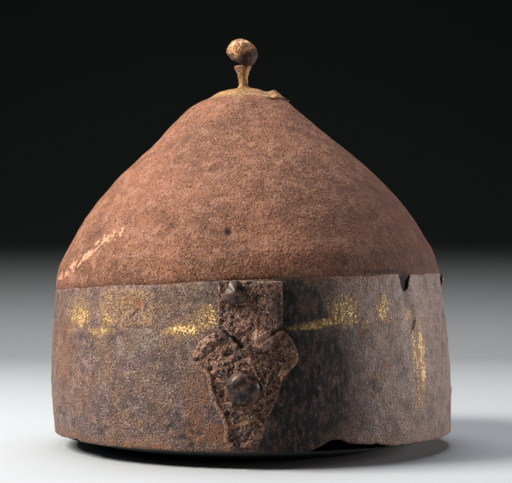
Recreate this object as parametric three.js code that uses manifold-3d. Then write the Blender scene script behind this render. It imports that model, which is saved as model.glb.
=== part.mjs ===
// A conical iron helmet with a brow band, millimetres, +Z up.
// The front faces -Y, +X is to the right of someone looking at the front, and the rim rests on z = 0. The origin
// is on the floor in the middle of the helmet's box, and the body above the rim leans slightly towards -X.
import * as THREE from "three";
import { mergeVertices } from "three/addons/utils/BufferGeometryUtils.js";
import Module from "manifold-3d";

// ---- Driving dimensions ----

const GAP = 0.3; // clearance between neighbouring pieces
const RING_SEGMENTS = 56; // facets round the bowl and the band
const BODY_LEAN = THREE.MathUtils.degToRad(2.0); // towards -X
const PLAN_LENGTHENING = 0.09; // how much longer than wide the plan is at the band; it fades out at the apex

// Brow band
const BAND_HEIGHT = 78; // from the floor to its top edge, at the front
const BAND_THICKNESS = 1.5;
const BAND_TOP_RISE = 0.8; // its top edge climbs by this much from the front to +X, and falls to -X
const BAND_BULGE = [
  [103.8, 0],
  [104.6, 18],
  [104.3, 36],
  [103.1, 57],
  [101.7, 78],
]; // outer half-width and height above the rim

// Losses in the band's edges: [degrees round from the front, depth in mm] along each edge
const RIM_CHIP = [
  [14.5, 0],
  [20.5, 4.8],
  [23, 4.9],
  [25.5, 2.8],
  [33, 1.6],
  [39, 0],
];
const TOP_NOTCH = [
  [45.7, 0],
  [46.5, 6.0],
  [47.8, 8.4],
  [49.8, 6.5],
  [51.1, 0],
];

// Bowl
const BOWL_THICKNESS = 2.2;
const SKIRT_BOTTOM = 57; // the skirt reaches this far down behind the band
const SKIRT_CLEARANCE = 0.4; // between the skirt and the band, which differ a little in their curves
const SKIRT_TOP = 79.2; // above this the bowl stands out over the skirt
const BOWL_OUTLINE = [
  [100.9, 80.2],
  [98.9, 88.6],
  [95.9, 94.5],
  [84.3, 114],
  [67.7, 133.3],
  [46.4, 152.7],
  [29.2, 168.9],
]; // outer radius and height, from the shoulder to the start of the crown
const CROWN_TOP = 178.4; // height of the bowl's rounded point
const CROWN_FALL = 0.0097; // the point falls by this times the radius squared
const CROWN_START_RADIUS = 23.5;
const CONE_DRIFT = -1.1; // the upper cone stands this far to -X of the leaning axis
const APEX_OFFSET = 1.2; // and the crown's centre this far to +X of it

// Apex cap and finial
const CAP_RADIUS = 22.6;
const CAP_THICKNESS = 1.7;
const CAP_CLEARANCE = 0.45; // between the bowl's crown and the cap
const CAP_SPREAD = 0.05; // the cap reaches this share further out towards +X, and less towards -X
const TANG_RADIUS = 1.9;
const COLLAR_RADIUS = 3.0;
const COLLAR_HEIGHT = 1.3;
const STEM_HEIGHT = 12;
const STEM_MOUTH_RADIUS = 5.0;
const STEM_FLARE = [
  [2.4, 2.1],
  [2.6, 5.5],
  [3.6, 8.8],
  [STEM_MOUTH_RADIUS, 11.3],
]; // radius and height above the stem's foot
const STEM_LIP = 0.5; // the mouth's edge turns in by this
const SPIGOT_RADIUS = 1.5;
const SPIGOT_LENGTH = 3.2;
const KNOB_HALF_WIDTH = 8.4;
const KNOB_HALF_HEIGHT = 7.3;
const KNOB_TILT = 0.12; // rise towards -X for each unit across

// Front mount
const BLOCK_THICKNESS = 3.6;
const PLATE_THICKNESS = 2.6;
const TONGUE_THICKNESS = 5.2; // from the band's face to the tongue's face
const BLOCK_SPAN = [38, BAND_HEIGHT - 0.3]; // heights between which the block and the plate follow the band
const PLATE_SPAN = [1, 56];
const BOSS = { x: -3.9, z: 28.9, radius: 8.0, height: 6.6, shank: 2.4, peen: 4.6 };
const BROW_RIVET = { x: -7.5, z: 71.6, radius: 5.4, height: 4.4, shank: 1.9, peen: 3.6 };
const BROW_HEAD_EDGE = 0.9; // thickness of its head at the edge
const BROW_HEAD_CORNERS = 0.16; // its corners stand out, and its sides lie in, by this share of the radius
const BAND_RIVET = { radius: 3.4, height: 1.3, shank: 1.4, peen: 2.8 };
const SIDE_RIVET_AZIMUTH = THREE.MathUtils.degToRad(88);
const SIDE_RIVET_HEIGHT = 74.6; // these two in the band's own height
const REAR_RIVET_HEIGHT = 68;
const PEEN_THICKNESS = 1.3;
const HOLE_LENGTH = 40; // of the cutters that open the rivets' holes

const BOX_CENTRING = 5; // the front mount stands proud, so the ring's centre is this far behind the origin

// ---- Materials ----

const rustedIron = new THREE.MeshStandardMaterial({ color: 0x6b4434, roughness: 0.85, metalness: 0.2 });
const darkIron = new THREE.MeshStandardMaterial({ color: 0x4d3d38, roughness: 0.75, metalness: 0.35 });
const brownCopperAlloy = new THREE.MeshStandardMaterial({ color: 0x8a6a48, roughness: 0.6, metalness: 0.6 });
const polishedCopperAlloy = new THREE.MeshStandardMaterial({ color: 0xa8714c, roughness: 0.4, metalness: 0.8 });

// ---- Solids ----

const manifold = await Module();
manifold.setup();

// A closed geometry with only its merged positions left.
function bare(geometry) {
  const copy = geometry.clone();
  copy.deleteAttribute("normal");
  copy.deleteAttribute("uv");
  return mergeVertices(copy, 1e-4);
}

function toSolid(geometry) {
  const merged = bare(geometry);
  return new manifold.Manifold(
    new manifold.Mesh({
      numProp: 3,
      vertProperties: merged.getAttribute("position").array,
      triVerts: new Uint32Array(merged.index.array),
    }),
  );
}

function toGeometry(solid) {
  const mesh = solid.getMesh();
  return new THREE.BufferGeometry()
    .setAttribute("position", new THREE.BufferAttribute(mesh.vertProperties, 3))
    .setIndex(new THREE.BufferAttribute(mesh.triVerts, 1));
}

function subtract(geometry, ...cutters) {
  let solid = toSolid(geometry);
  for (const cutter of cutters) solid = solid.subtract(toSolid(cutter));
  return toGeometry(solid);
}

// A profile of [radius, height] pairs turned about the +Z axis; azimuth 0 is the front, and it grows towards +X.
function turned(profile, segments) {
  const points = profile.map(([radius, height]) => new THREE.Vector2(radius, height));
  return bare(new THREE.LatheGeometry(points, segments).rotateX(Math.PI / 2));
}

// Moves each vertex of a turned shape: shape({ radius, azimuth, height }) gives the new position.
function reshaped(geometry, shape) {
  const position = geometry.getAttribute("position");
  const moved = new THREE.Vector3();
  for (let i = 0; i < position.count; i++) {
    const x = position.getX(i);
    const y = position.getY(i);
    const place = { radius: Math.hypot(x, y), azimuth: Math.atan2(x, -y), height: position.getZ(i) };
    moved.copy(shape(place));
    position.setXYZ(i, moved.x, moved.y, moved.z);
  }
  return geometry;
}

// Points along a smooth curve through [radius, height] pairs.
function alongCurve(pairs, count) {
  const curve = new THREE.SplineCurve(pairs.map(([radius, height]) => new THREE.Vector2(radius, height)));
  return curve.getSpacedPoints(count - 1).map((point) => [point.x, point.y]);
}

// The same line moved inwards by a thickness, at right angles to itself.
function inset(line, thickness) {
  return line.map(([radius, height], i) => {
    const [r0, h0] = line[Math.max(i - 1, 0)];
    const [r1, h1] = line[Math.min(i + 1, line.length - 1)];
    const along = new THREE.Vector2(r1 - r0, h1 - h0).normalize();
    return [radius - along.y * thickness, height + along.x * thickness];
  });
}

// ---- The shared form of the body ----

const smooth = THREE.MathUtils.smoothstep;

// The plan is an oval at the band and round at the apex.
function inPlan(radius, azimuth, height) {
  const lengthening = 1 + PLAN_LENGTHENING * (1 - smooth(height, BAND_HEIGHT, CROWN_TOP));
  return new THREE.Vector3(radius * Math.sin(azimuth), -radius * lengthening * Math.cos(azimuth), height);
}

function leaned(point) {
  return point.applyAxisAngle(new THREE.Vector3(0, 1, 0), -BODY_LEAN);
}

// A point of the band: height runs from 0 at the rim, which is level, to BAND_HEIGHT at the top edge.
function onBand({ radius, azimuth, height }) {
  const rim = -radius * Math.sin(azimuth) * Math.tan(BODY_LEAN);
  const top = BAND_HEIGHT + BAND_TOP_RISE * Math.sin(azimuth);
  const point = leaned(inPlan(radius, azimuth, THREE.MathUtils.lerp(rim, top, height / BAND_HEIGHT)));
  if (height === 0) point.z = 0;
  return point;
}

const bandCurve = new THREE.SplineCurve(BAND_BULGE.map(([radius, height]) => new THREE.Vector2(radius, height)));

// The band's outer half-width at a height.
function bandRadius(height) {
  return bandCurve.getPoint(height / BAND_HEIGHT).x;
}

// A closed ring that follows the band's surface between two offsets from it.
function bandShell(from, to, bottom, top, rows) {
  const heights = Array.from({ length: rows + 1 }, (_, i) => bottom + ((top - bottom) * i) / rows);
  const outer = heights.map((height) => [bandRadius(height) + to, height]);
  const inner = heights.map((height) => [bandRadius(height) + from, height]).reverse();
  return reshaped(turned([...outer, ...inner, outer[0]], RING_SEGMENTS), onBand);
}

// The sideways shift of the bowl from the leaning axis: the upper cone to -X, the crown back to +X.
function bowlShift(height) {
  const cone = CONE_DRIFT * smooth(height, CROWN_TOP - 28, CROWN_TOP - 12);
  return THREE.MathUtils.lerp(cone, APEX_OFFSET, smooth(height, CROWN_TOP - 8, CROWN_TOP - 2));
}

function onBowl({ radius, azimuth, height }) {
  const point = inPlan(radius, azimuth, height);
  point.x += bowlShift(height);
  return leaned(point);
}

function crownHeight(radius) {
  return CROWN_TOP - CROWN_FALL * radius ** 2;
}

// ---- Front mount outlines, seen from the front ----

function outline(points) {
  return new THREE.Shape(points.map(([x, z]) => new THREE.Vector2(x, z)));
}

// The outline as a bar that runs back from the front, through the band.
function throughFront(shape, depth = 60, front = 130) {
  const bar = new THREE.ExtrudeGeometry(shape, { depth, bevelEnabled: false, curveSegments: 2 });
  return bar.rotateX(Math.PI / 2).translate(0, depth - front, 0);
}

const BLOCK_OUTLINE = [
  [-15.4, 77.2],
  [-15.4, 55.0],
  [-4.3, 47.8],
  [4.3, 47.8],
  [10.2, 53.6],
  [13.7, 55.0],
  [13.7, 77.2],
];

// The plate: two lobes under the block, and a stem that narrows down to the rim.
const PLATE_LEFT_EDGE = [
  [-22.6, 51.0],
  [-26.6, 45.6],
  [-26.8, 42.2],
  [-24.2, 37.6],
  [-20.8, 34.8],
  [-20.0, 29.6],
  [-17.8, 22.6],
  [-14.4, 16.2],
  [-12.6, 10.8],
  [-12.8, 5.4],
  [-10.2, 2.7],
];
const PLATE_RIGHT_EDGE = [
  [5.1, 9.1],
  [6.3, 14.8],
  [8.8, 19.6],
  [11.5, 25.9],
  [13.4, 32.3],
  [15.6, 35.6],
  [20.1, 40.2],
  [20.5, 44.4],
  [17.0, 50.2],
  [10.9, 52.4],
];

function plateShape() {
  const shape = new THREE.Shape();
  shape.moveTo(-17.0, 53.9);
  shape.splineThru(PLATE_LEFT_EDGE.map(([x, z]) => new THREE.Vector2(x, z)));
  shape.lineTo(2.6, 2.7);
  shape.splineThru(PLATE_RIGHT_EDGE.map(([x, z]) => new THREE.Vector2(x, z)));
  shape.lineTo(4.5, 47.2);
  shape.lineTo(-4.6, 47.2);
  return shape;
}

const TONGUE_OUTLINE = [
  [-1.6, 42.0],
  [8.4, 36.6],
  [5.6, 27.8],
];

// ---- Rivets ----

// The rivet's own axis is +Z: head above z = 0, then the shank, and the peened end inside.
function rivetProfile({ radius, height, shank, peen }, grip) {
  const dome = alongCurve(
    [
      [radius, 0],
      [radius * 0.97, height * 0.3],
      [radius * 0.7, height * 0.78],
      [0, height],
    ],
    6,
  );
  return [
    [0, -grip - PEEN_THICKNESS],
    [peen * 0.7, -grip - PEEN_THICKNESS],
    [peen, -grip],
    [shank, -grip],
    [shank, 0],
    ...dome,
  ];
}

// Where a rivet's head meets the band, and which way it points.
function seatAt(azimuth, height, proud) {
  const at = onBand({ radius: bandRadius(height) + proud, azimuth, height });
  const outwards = new THREE.Vector3(Math.sin(azimuth) * (1 + PLAN_LENGTHENING), -Math.cos(azimuth), 0);
  return { at, outwards: outwards.normalize() };
}

function placedOutwards(geometry, { at, outwards }) {
  const turn = new THREE.Quaternion().setFromUnitVectors(new THREE.Vector3(0, 0, 1), outwards);
  return geometry.applyQuaternion(turn).translate(at.x, at.y, at.z);
}

function shankHole(shank, seat) {
  const hole = new THREE.CylinderGeometry(shank + GAP, shank + GAP, HOLE_LENGTH, 12).rotateX(Math.PI / 2);
  return placedOutwards(hole, seat);
}

// ---- Pieces ----

const helmet = new THREE.Group();
helmet.position.y = BOX_CENTRING;

function addPiece(name, geometry, material, parent = helmet) {
  const mesh = new THREE.Mesh(geometry, material);
  mesh.name = name;
  parent.add(mesh);
  return mesh;
}

// The front face of the band at a place on the mount, in x and z.
function frontSeat({ x, z }, proud) {
  const azimuth = Math.asin((x + z * Math.sin(BODY_LEAN)) / bandRadius(z));
  const seat = seatAt(azimuth, z, proud);
  seat.at.z = z;
  return seat;
}

const bossSeat = frontSeat(BOSS, PLATE_THICKNESS + 2 * GAP);
const browSeat = frontSeat(BROW_RIVET, BLOCK_THICKNESS + 2 * GAP);
const sideSeat = seatAt(SIDE_RIVET_AZIMUTH, SIDE_RIVET_HEIGHT, 2 * GAP);
const rearSeat = seatAt(Math.PI, REAR_RIVET_HEIGHT, 2 * GAP);

const bossHole = shankHole(BOSS.shank, bossSeat);
const browHole = shankHole(BROW_RIVET.shank, browSeat);
const sideHole = shankHole(BAND_RIVET.shank, sideSeat);
const rearHole = shankHole(BAND_RIVET.shank, rearSeat);

// What is missing from one of the band's edges, as a solid through its wall: into is 1 upwards from the rim and
// -1 downwards from the top edge.
function edgeLoss(steps, height, into) {
  const beyond = 3;
  const through = 24;
  const radius = bandRadius(height);
  const middle = THREE.MathUtils.degToRad((steps[0][0] + steps[steps.length - 1][0]) / 2);
  const across = (degrees) => radius * Math.sin(THREE.MathUtils.degToRad(degrees) - middle);
  const edge = steps.map(([degrees, depth]) => [across(degrees), into * depth]);
  const corners = [
    [across(steps[steps.length - 1][0]), -into * beyond],
    [across(steps[0][0]), -into * beyond],
  ];
  const loss = new THREE.ExtrudeGeometry(outline([...edge, ...corners]), { depth: through, bevelEnabled: false });
  const at = onBand({ radius, azimuth: middle, height });
  return loss.rotateX(Math.PI / 2).translate(0, through / 2, 0).rotateZ(middle).translate(at.x, at.y, at.z);
}

const band = bandShell(-BAND_THICKNESS, 0, 0, BAND_HEIGHT, 4);
addPiece(
  "brow_band",
  subtract(
    band,
    edgeLoss(RIM_CHIP, 0, 1),
    edgeLoss(TOP_NOTCH, BAND_HEIGHT, -1),
    bossHole,
    browHole,
    sideHole,
    rearHole,
  ),
  darkIron,
);

const skirt = [SKIRT_BOTTOM, SKIRT_TOP].map((height) => [
  bandRadius(height) - BAND_THICKNESS - SKIRT_CLEARANCE,
  height,
]);
const crownRadii = [CROWN_START_RADIUS, 13, 7, TANG_RADIUS + GAP];
const crown = crownRadii.map((radius) => [radius, crownHeight(radius)]);
const bowlOuter = [...skirt, ...alongCurve([...BOWL_OUTLINE, crown[0]], 10), ...crown.slice(1)];
const bowlInner = inset(bowlOuter, BOWL_THICKNESS);
bowlInner[bowlInner.length - 1][0] = TANG_RADIUS + GAP;
bowlInner[0][1] = SKIRT_BOTTOM;
const bowl = turned([...bowlOuter, ...bowlInner.reverse(), bowlOuter[0]], RING_SEGMENTS);
addPiece("skull_bowl", subtract(reshaped(bowl, onBowl), browHole, sideHole, rearHole), rustedIron);

// The cap follows the crown, and spreads further towards +X.
function onCrown({ radius, azimuth, height }) {
  const spread = radius * (1 + CAP_SPREAD * Math.sin(azimuth) * (radius / CAP_RADIUS));
  const dropped = height + crownHeight(spread) - crownHeight(radius);
  return leaned(new THREE.Vector3(APEX_OFFSET + spread * Math.sin(azimuth), -spread * Math.cos(azimuth), dropped));
}

const capRadii = [TANG_RADIUS + GAP, 7, 13, 18, CAP_RADIUS];
const capUnder = capRadii.map((radius) => [radius, crownHeight(radius) + CAP_CLEARANCE]);
const capOver = capUnder.map(([radius, height]) => [radius, height + CAP_THICKNESS]).reverse();
const cap = turned([...capUnder, ...capOver, capUnder[0]], 28);
addPiece("apex_cap", reshaped(cap, onCrown), brownCopperAlloy);

// The finial stands upright on the leaning crown, on the crown's axis.
const finial = new THREE.Group();
finial.rotation.y = -BODY_LEAN;
helmet.add(finial);

const stemBase = CROWN_TOP + CAP_CLEARANCE + CAP_THICKNESS + GAP;
const stemMouth = stemBase + STEM_HEIGHT;
const bowlUnderside = CROWN_TOP - BOWL_THICKNESS;
const spigotEnd = stemMouth - SPIGOT_LENGTH;
const peenTop = bowlUnderside - GAP;
const stemProfile = [
  [0, peenTop - PEEN_THICKNESS],
  [TANG_RADIUS * 1.4, peenTop - PEEN_THICKNESS],
  [TANG_RADIUS * 1.9, peenTop],
  [TANG_RADIUS, peenTop],
  [TANG_RADIUS, stemBase],
  [COLLAR_RADIUS, stemBase],
  [COLLAR_RADIUS, stemBase + COLLAR_HEIGHT],
  ...alongCurve(STEM_FLARE, 5).map(([radius, height]) => [radius, stemBase + height]),
  [STEM_MOUTH_RADIUS - STEM_LIP, stemMouth],
  [SPIGOT_RADIUS + GAP, stemMouth],
  [SPIGOT_RADIUS + GAP, spigotEnd - GAP],
  [0, spigotEnd - GAP],
];
addPiece("finial_stem", turned(stemProfile, 20).translate(APEX_OFFSET, 0, 0), brownCopperAlloy, finial);

const knobBase = stemMouth + GAP;
const knobCentre = knobBase + KNOB_HALF_HEIGHT;
const KNOB_RINGS = 9;
const knobProfile = [
  [0, spigotEnd],
  [SPIGOT_RADIUS, spigotEnd],
];
const firstKnobAngle = Math.asin(SPIGOT_RADIUS / KNOB_HALF_WIDTH);
for (let i = 0; i <= KNOB_RINGS; i++) {
  const angle = THREE.MathUtils.lerp(firstKnobAngle, Math.PI, i / KNOB_RINGS);
  knobProfile.push([
    i === KNOB_RINGS ? 0 : KNOB_HALF_WIDTH * Math.sin(angle),
    knobCentre - KNOB_HALF_HEIGHT * Math.cos(angle),
  ]);
}
const knob = reshaped(turned(knobProfile, 20), ({ radius, azimuth, height }) => {
  const across = radius * Math.sin(azimuth);
  const tilted = radius > SPIGOT_RADIUS + 0.01 ? Math.max(height - KNOB_TILT * across, knobBase) : height;
  return new THREE.Vector3(across, -radius * Math.cos(azimuth), tilted);
});
addPiece("finial_knob", knob.translate(APEX_OFFSET, 0, 0), polishedCopperAlloy, finial);

// Block and plate: the part of a shell round the band that lies within each outline.
const blockShell = toSolid(bandShell(GAP, GAP + BLOCK_THICKNESS, ...BLOCK_SPAN, 4));
const block = blockShell
  .intersect(toSolid(throughFront(outline(BLOCK_OUTLINE))))
  .subtract(toSolid(browHole));
addPiece("nasal_block", toGeometry(block), darkIron);

const bossClear = new THREE.CylinderGeometry(BOSS.radius + GAP, BOSS.radius + GAP, HOLE_LENGTH, 24);
bossClear.rotateX(Math.PI / 2).translate(0, 0, HOLE_LENGTH / 2 - GAP);
placedOutwards(bossClear, bossSeat);
const plateShell = toSolid(bandShell(GAP, GAP + PLATE_THICKNESS, ...PLATE_SPAN, 4));
const tongueShell = toSolid(bandShell(GAP, GAP + TONGUE_THICKNESS, ...PLATE_SPAN, 4));
const tongue = tongueShell.intersect(toSolid(throughFront(outline(TONGUE_OUTLINE)))).subtract(toSolid(bossClear));
const plate = plateShell
  .intersect(toSolid(throughFront(plateShape())))
  .add(tongue)
  .subtract(toSolid(bossHole));
addPiece("nasal_plate", toGeometry(plate), darkIron);

// From under a rivet's head to its peened end: all that it holds, as thick as that is at the front, and clearance.
function gripThrough(...layers) {
  return layers.reduce((sum, layer) => sum + layer) * (1 + PLAN_LENGTHENING) + 2 * GAP;
}

const walls = BAND_THICKNESS + SKIRT_CLEARANCE + BOWL_THICKNESS;
const bossGrip = gripThrough(2 * GAP, PLATE_THICKNESS, BAND_THICKNESS);
const browGrip = gripThrough(2 * GAP, BLOCK_THICKNESS, walls);
const bandGrip = gripThrough(2 * GAP, walls);
addPiece("boss_rivet", placedOutwards(turned(rivetProfile(BOSS, bossGrip), 20), bossSeat), darkIron);
addPiece("side_rivet", placedOutwards(turned(rivetProfile(BAND_RIVET, bandGrip), 12), sideSeat), darkIron);
addPiece("rear_rivet", placedOutwards(turned(rivetProfile(BAND_RIVET, bandGrip), 12), rearSeat), darkIron);

// The brow rivet's head is a three-sided point, one corner up.
const browHead = [
  [0, -browGrip - PEEN_THICKNESS],
  [BROW_RIVET.peen, -browGrip - PEEN_THICKNESS],
  [BROW_RIVET.peen, -browGrip],
  [BROW_RIVET.shank, -browGrip],
  [BROW_RIVET.shank, 0],
  [BROW_RIVET.radius, 0],
  [BROW_RIVET.radius * 0.9, BROW_HEAD_EDGE],
  [0, BROW_RIVET.height],
];
const browRivet = reshaped(turned(browHead, 12), ({ radius, azimuth, height }) => {
  const inHead = height >= 0 && radius > BROW_RIVET.shank;
  const corner = inHead ? 1 - BROW_HEAD_CORNERS * Math.cos(3 * azimuth) : 1;
  return new THREE.Vector3(radius * corner * Math.sin(azimuth), radius * corner * -Math.cos(azimuth), height);
});
addPiece("brow_rivet", placedOutwards(browRivet, browSeat), darkIron);

export default helmet;
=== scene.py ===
"""A conical iron helmet with a gilt brow band: the finished surfaces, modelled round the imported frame.

Lengths in the helpers are millimetres; place() turns them into Blender's metres.
"""
import math

import bmesh
import bpy
import numpy as np
from mathutils import Matrix, Vector, noise


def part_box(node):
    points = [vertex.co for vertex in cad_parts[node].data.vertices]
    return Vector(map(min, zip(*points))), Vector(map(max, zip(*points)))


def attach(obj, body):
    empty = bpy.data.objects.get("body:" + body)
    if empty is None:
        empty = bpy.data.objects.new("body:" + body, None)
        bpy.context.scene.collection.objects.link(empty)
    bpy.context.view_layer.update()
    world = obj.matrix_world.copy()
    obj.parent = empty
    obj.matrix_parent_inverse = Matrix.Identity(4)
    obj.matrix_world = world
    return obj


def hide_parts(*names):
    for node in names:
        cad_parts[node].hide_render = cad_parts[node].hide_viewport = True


bl_info = {
    "name": "Iron Helmet",
    "version": (1, 0, 0),
    "blender": (4, 5, 0),
    "location": "3D View > Sidebar > Helmet",
    "description": "Builds a corroded iron helmet with a brow band, front mount and finial",
    "category": "Add Mesh",
}

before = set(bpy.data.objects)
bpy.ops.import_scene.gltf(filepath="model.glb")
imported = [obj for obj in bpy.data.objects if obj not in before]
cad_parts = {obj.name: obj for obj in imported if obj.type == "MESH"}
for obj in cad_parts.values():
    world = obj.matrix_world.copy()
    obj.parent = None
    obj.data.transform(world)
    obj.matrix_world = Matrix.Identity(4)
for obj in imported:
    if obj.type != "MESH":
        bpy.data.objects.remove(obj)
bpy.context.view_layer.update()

MM = 0.001  # Blender's metres in a millimetre


def millimetre_box(node):
    """The lowest and highest corners of a node of the frame, in millimetres."""
    low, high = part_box(node)
    return np.array(low) / MM, np.array(high) / MM


# ---- The shared form of the body, as the frame has it ----

BODY_LEAN = math.radians(2.0)  # towards -X
PLAN_LENGTHENING = 0.09  # the plan is longer than wide at the band, and round at the apex
BAND_HEIGHT = 78.0
BAND_TOP_RISE = 0.8
BAND_THICKNESS = 1.5
BAND_RADIUS = 104.0  # turns degrees round the band into millimetres along it
BAND_BULGE = ((103.8, 0), (104.6, 18), (104.3, 36), (103.1, 57), (101.7, 78))
BOWL_THICKNESS = 2.2
SKIRT_BOTTOM = 57.0
SKIRT_TOP = 79.2
SKIRT_CLEARANCE = 0.4
WALLS = BAND_THICKNESS + SKIRT_CLEARANCE + BOWL_THICKNESS
RUST_FILLET = ((100.4, 76.6), (100.9, 78.2), (101.0, 79.3))  # rust fills the seam between skirt and shoulder
BOWL_OUTLINE = (
    (100.9, 80.2),
    (98.9, 88.6),
    (95.9, 94.5),
    (84.3, 114),
    (67.7, 133.3),
    (46.4, 152.7),
    (29.2, 168.9),
)
CROWN_TOP = 178.4
CROWN_FALL = 0.0097
CROWN_START = 23.5
CONE_DRIFT = -1.1
APEX_OFFSET = 1.2
CAP_SEAT = 0.45  # clearance between the bowl's crown and the cap
TANG_RADIUS = 1.9
GAP = 0.3  # between pieces that meet

_band_low, _band_high = millimetre_box("brow_band")
RING_CENTRE_Y = (_band_low[1] + _band_high[1]) / 2


def smooth(value, low, high):
    """0 below low, 1 above high, and an even curve between."""
    share = np.clip((np.asarray(value, float) - low) / (high - low), 0, 1)
    return share * share * (3 - 2 * share)


def curve_at(points, share):
    """Places on a smooth curve through the points; share runs from 0 to 1."""
    points = np.asarray(points, float)
    last = len(points) - 1
    place_along = np.clip(np.asarray(share, float), 0, 1) * last
    first = np.minimum(place_along.astype(int), last - 1)
    t = (place_along - first)[..., None]
    before, start = points[np.maximum(first - 1, 0)], points[first]
    end, after = points[first + 1], points[np.minimum(first + 2, last)]
    leave, arrive = (end - before) / 2, (after - start) / 2
    return (
        (2 * start - 2 * end + leave + arrive) * t**3
        + (3 * end - 3 * start - 2 * leave - arrive) * t**2
        + leave * t
        + start
    )


def spaced(points, count):
    """The same curve as count points at even distances."""
    fine = curve_at(points, np.linspace(0, 1, 1200))
    along = np.concatenate(([0], np.cumsum(np.linalg.norm(np.diff(fine, axis=0), axis=1))))
    wanted = np.linspace(0, along[-1], count)
    return np.stack([np.interp(wanted, along, fine[:, i]) for i in range(fine.shape[1])], axis=1)


def inset(line, thickness):
    """A line of (radius, height) moved inwards, at right angles to itself."""
    along = np.gradient(line, axis=0)
    along /= np.linalg.norm(along, axis=1)[:, None]
    return line + np.stack([-along[:, 1], along[:, 0]], axis=1) * thickness


def band_radius(height):
    """The band's outer half-width at a height of the band's own."""
    return curve_at(BAND_BULGE, np.asarray(height, float) / BAND_HEIGHT)[..., 0]


def crown_height(radius):
    """The height of the bowl's blunt point, where the cap sits."""
    return CROWN_TOP - CROWN_FALL * np.square(radius)


def leaned(x, y, z):
    """Leans the body, and puts its ring where the frame has it."""
    cos, sin = math.cos(BODY_LEAN), math.sin(BODY_LEAN)
    return np.stack([x * cos - z * sin, y + RING_CENTRE_Y, x * sin + z * cos], axis=1)


def in_plan(radius, azimuth, height):
    """The longish plan: azimuth 0 is the front, and it grows towards +X."""
    lengthening = 1 + PLAN_LENGTHENING * (1 - smooth(height, BAND_HEIGHT, CROWN_TOP))
    return radius * np.sin(azimuth), -radius * lengthening * np.cos(azimuth)


def on_bowl(radius, azimuth, height):
    """Places on the bowl, whose cone drifts sideways to an off-centre point."""
    x, y = in_plan(radius, azimuth, height)
    cone = CONE_DRIFT * smooth(height, CROWN_TOP - 28, CROWN_TOP - 12)
    crown = smooth(height, CROWN_TOP - 8, CROWN_TOP - 2)
    return leaned(x + cone + (APEX_OFFSET - cone) * crown, y, height)


def band_edges(radius, azimuth):
    """The heights of the level rim and of the top edge, along the leaning body."""
    return -radius * np.sin(azimuth) * math.tan(BODY_LEAN), BAND_HEIGHT + BAND_TOP_RISE * np.sin(azimuth)


def on_band(radius, azimuth, height):
    """Places on the band, stretched between its level rim and its top edge."""
    rim, top = band_edges(radius, azimuth)
    z = rim + (top - rim) * height / BAND_HEIGHT
    x, y = in_plan(radius, azimuth, z)
    return leaned(x, y, z)


def band_face(x, z, proud):
    """Places at x and z on the front of the band, moved out from its face."""
    cos, sin = math.cos(BODY_LEAN), math.sin(BODY_LEAN)
    across, up = x * cos + z * sin, -x * sin + z * cos
    radius = band_radius(up) + proud
    y = -(1 + PLAN_LENGTHENING) * np.sqrt(np.maximum(radius**2 - across**2, 0))
    return np.stack([x, y + RING_CENTRE_Y, z], axis=1)


# ---- Meshes ----


def noise_at(places, size, seed, basis="PERLIN_ORIGINAL"):
    """Even noise, about -1 to 1, at each place in millimetres, in lumps of the given size."""
    shifted = places / size + np.array([seed * 7.31, seed * 3.17, seed * 11.9])
    return np.array([noise.noise(Vector(at), noise_basis=basis) for at in shifted.tolist()])


def lumps(places, layers, seed):
    """A sum of noises: layers are (size, height) in millimetres."""
    return sum(height * noise_at(places, size, seed + i) for i, (size, height) in enumerate(layers))


def of_vertices(mesh, what):
    """The co or the normal of every vertex, as rows of three."""
    flat = np.empty(len(mesh.vertices) * 3)
    mesh.vertices.foreach_get(what, flat)
    return flat.reshape(-1, 3)


def places_of(mesh):
    """The vertices' places in millimetres."""
    return of_vertices(mesh, "co") / MM


def place(mesh, places):
    """Moves the vertices to places in millimetres."""
    mesh.vertices.foreach_set("co", (np.asarray(places) * MM).ravel())
    mesh.update()


def mesh_from(bm, name):
    """Closes the bmesh, turns its faces outwards and makes it a smooth-shaded mesh."""
    bmesh.ops.remove_doubles(bm, verts=bm.verts, dist=1e-4 * MM)
    bmesh.ops.recalc_face_normals(bm, faces=bm.faces)
    mesh = bpy.data.meshes.new(name)
    bm.to_mesh(mesh)
    bm.free()
    mesh.shade_smooth()
    return mesh


def spun(profile, steps, name, closed=True):
    """Turns a profile of (radius, height) once round +Z."""
    bm = bmesh.new()
    verts = [bm.verts.new((radius * MM, 0, height * MM)) for radius, height in profile]
    ends = zip(verts, verts[1:] + verts[:1]) if closed else zip(verts, verts[1:])
    edges = [bm.edges.new(pair) for pair in ends]
    bmesh.ops.spin(
        bm,
        geom=verts + edges,
        cent=(0, 0, 0),
        axis=(0, 0, 1),
        dvec=(0, 0, 0),
        angle=2 * math.pi,
        steps=steps,
        use_merge=True,
    )
    return mesh_from(bm, name)


def cylinder_places(mesh):
    """Each vertex of a spun mesh as radius, azimuth and height."""
    x, y, z = places_of(mesh).T
    return np.hypot(x, y), np.arctan2(x, -y), z


def chart(mesh, name, values):
    """Keeps one number for each vertex, for the materials to read."""
    mesh.attributes.new(name, "FLOAT", "POINT").data.foreach_set("value", np.asarray(values, float))


def in_scene(name, data):
    """A new object in the scene."""
    made = bpy.data.objects.new(name, data)
    bpy.context.scene.collection.objects.link(made)
    return made


def add_piece(mesh, material, node):
    """Shows the mesh in place of a node of the frame."""
    piece = in_scene(mesh.name, mesh)
    mesh.materials.append(material)
    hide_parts(node)
    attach(piece, "root")


def marks(azimuth, height, table, radius=BAND_RADIUS):
    """How strongly each place is marked: rows are (degrees, height, half-width, half-height, strength)."""
    strength = np.zeros(len(azimuth))
    for degrees, middle, half_width, half_height, most in table:
        across = (azimuth - math.radians(degrees)) * radius / half_width
        up = (height - middle) / half_height
        strength = np.maximum(strength, most * (1 - smooth(np.hypot(across, up), 0.35, 1.25)))
    return strength


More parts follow.
